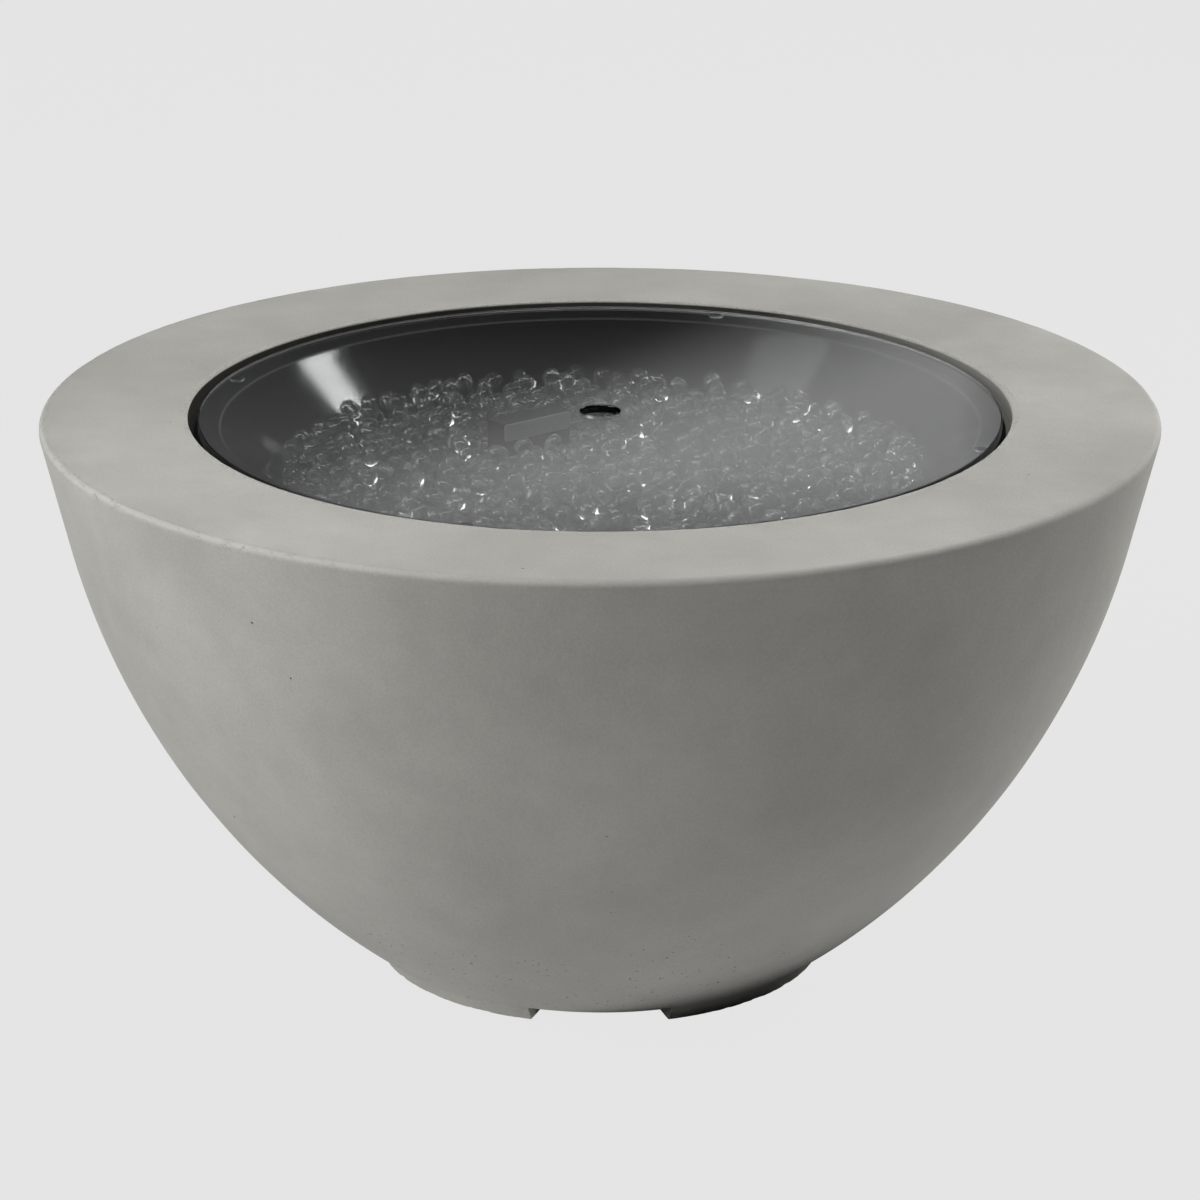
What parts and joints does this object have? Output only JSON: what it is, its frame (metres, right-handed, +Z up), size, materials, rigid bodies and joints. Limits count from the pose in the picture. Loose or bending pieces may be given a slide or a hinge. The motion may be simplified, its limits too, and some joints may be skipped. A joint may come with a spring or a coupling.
{
  "type": "gas fire pit bowl",
  "caption": "Round cast concrete fire pit bowl on a notched foot ring, with a drop-in gas burner pan, clear fire glass, a lift-off glass cover and rear push controls.",
  "frame": {"origin": "middle of the foot ring, on the ground", "axes": "+Z up, -Y to the front, where the picture is taken from; the controls are at the back, +Y"},
  "size_m": [0.7419, 0.742, 0.38],
  "materials": {
    "cast_concrete": "fine cast concrete, sealed, matt, with pinholes and a lightly worn rim",
    "stainless_pan": "spun stainless steel, satin",
    "stainless_tube": "welded stainless tube",
    "stainless_sheet": "bent stainless sheet",
    "brushed_panel": "brushed stainless plate",
    "plated_steel": "zinc plated",
    "spring_steel": "drawn wire",
    "black_steel": "blackened",
    "brass": "turned brass",
    "copper": "drawn copper",
    "coated_gas_line": "coated corrugated stainless",
    "black_plastic": "moulded, fine texture",
    "button_plastic": "moulded, satin",
    "battery_can": "plain sleeve",
    "silicone_lead": "silicone sleeve",
    "white_ceramic": "unglazed alumina",
    "fire_glass": "tumbled clear glass gems",
    "tempered_glass": "clear tempered glass, ground edge",
    "clear_bumper": "clear soft polyurethane"
  },
  "bodies": {
    "fire_pit": {"bowl_rim": "cast_concrete", "bowl_upper_wall": "cast_concrete", "bowl_middle_wall": "cast_concrete", "bowl_lower_wall": "cast_concrete", "bowl_floor": "cast_concrete", "bowl_foot": "cast_concrete", "burner_pan_floor": "stainless_pan", "burner_pan_wall": "stainless_pan", "burner_pan_flange": "stainless_pan", "burner_ring": "stainless_tube", "burner_washer": "plated_steel", "burner_lock_nut": "brass", "air_mixer": "plated_steel", "gas_orifice": "brass", "flex_line": "coated_gas_line", "flex_nuts": "brass", "control_panel": "brushed_panel", "panel_screws": "plated_steel", "panel_inserts": "brass", "gas_valve": "brass", "valve_screws": "plated_steel", "inlet_fitting": "brass", "igniter_barrel": "black_plastic", "igniter_nut": "black_plastic", "igniter_spring": "spring_steel", "igniter_battery": "battery_can", "ignition_lead": "silicone_lead", "electrode_insulator": "white_ceramic", "spark_electrode": "spring_steel", "thermocouple": "copper", "thermocouple_lead": "copper", "thermocouple_nut": "brass", "pilot_bracket": "stainless_sheet", "pilot_hood": "stainless_sheet", "pilot_screws": "plated_steel", "pilot_nuts": "plated_steel", "fire_glass_bed": "fire_glass", "fire_glass_gems": "fire_glass"},
    "cover": {"glass_cover": "tempered_glass", "cover_bumpers": "clear_bumper"},
    "plug": {"valve_plug": "brass", "stem_spring": "spring_steel"},
    "knob": {"control_knob": "black_plastic", "valve_stem": "plated_steel", "knob_set_screw": "black_steel"},
    "button": {"igniter_button": "button_plastic"}
  },
  "joints": [
    {"name": "cover_lift", "type": "slide", "parent": "fire_pit", "child": "cover", "axis": [0, 0, 1], "range_m": [0, 0.15]},
    {"name": "knob_turn", "type": "hinge", "parent": "fire_pit", "child": "plug", "pos_m": [0.026, 0.33207, 0.235], "axis": [0, 0.9291, -0.3698], "range_deg": [0, 180]},
    {"name": "knob_push", "type": "slide", "parent": "plug", "child": "knob", "axis": [0, -0.9291, 0.3698], "range_m": [0, 0.004], "stiffness_N_per_m": 1200, "springref_m": -0.002, "deforming": ["stem_spring"]},
    {"name": "igniter_press", "type": "slide", "parent": "fire_pit", "child": "button", "axis": [0, -0.9291, 0.3698], "range_m": [0, 0.0035], "stiffness_N_per_m": 1000, "springref_m": -0.002, "deforming": ["igniter_spring"]}
  ]
}
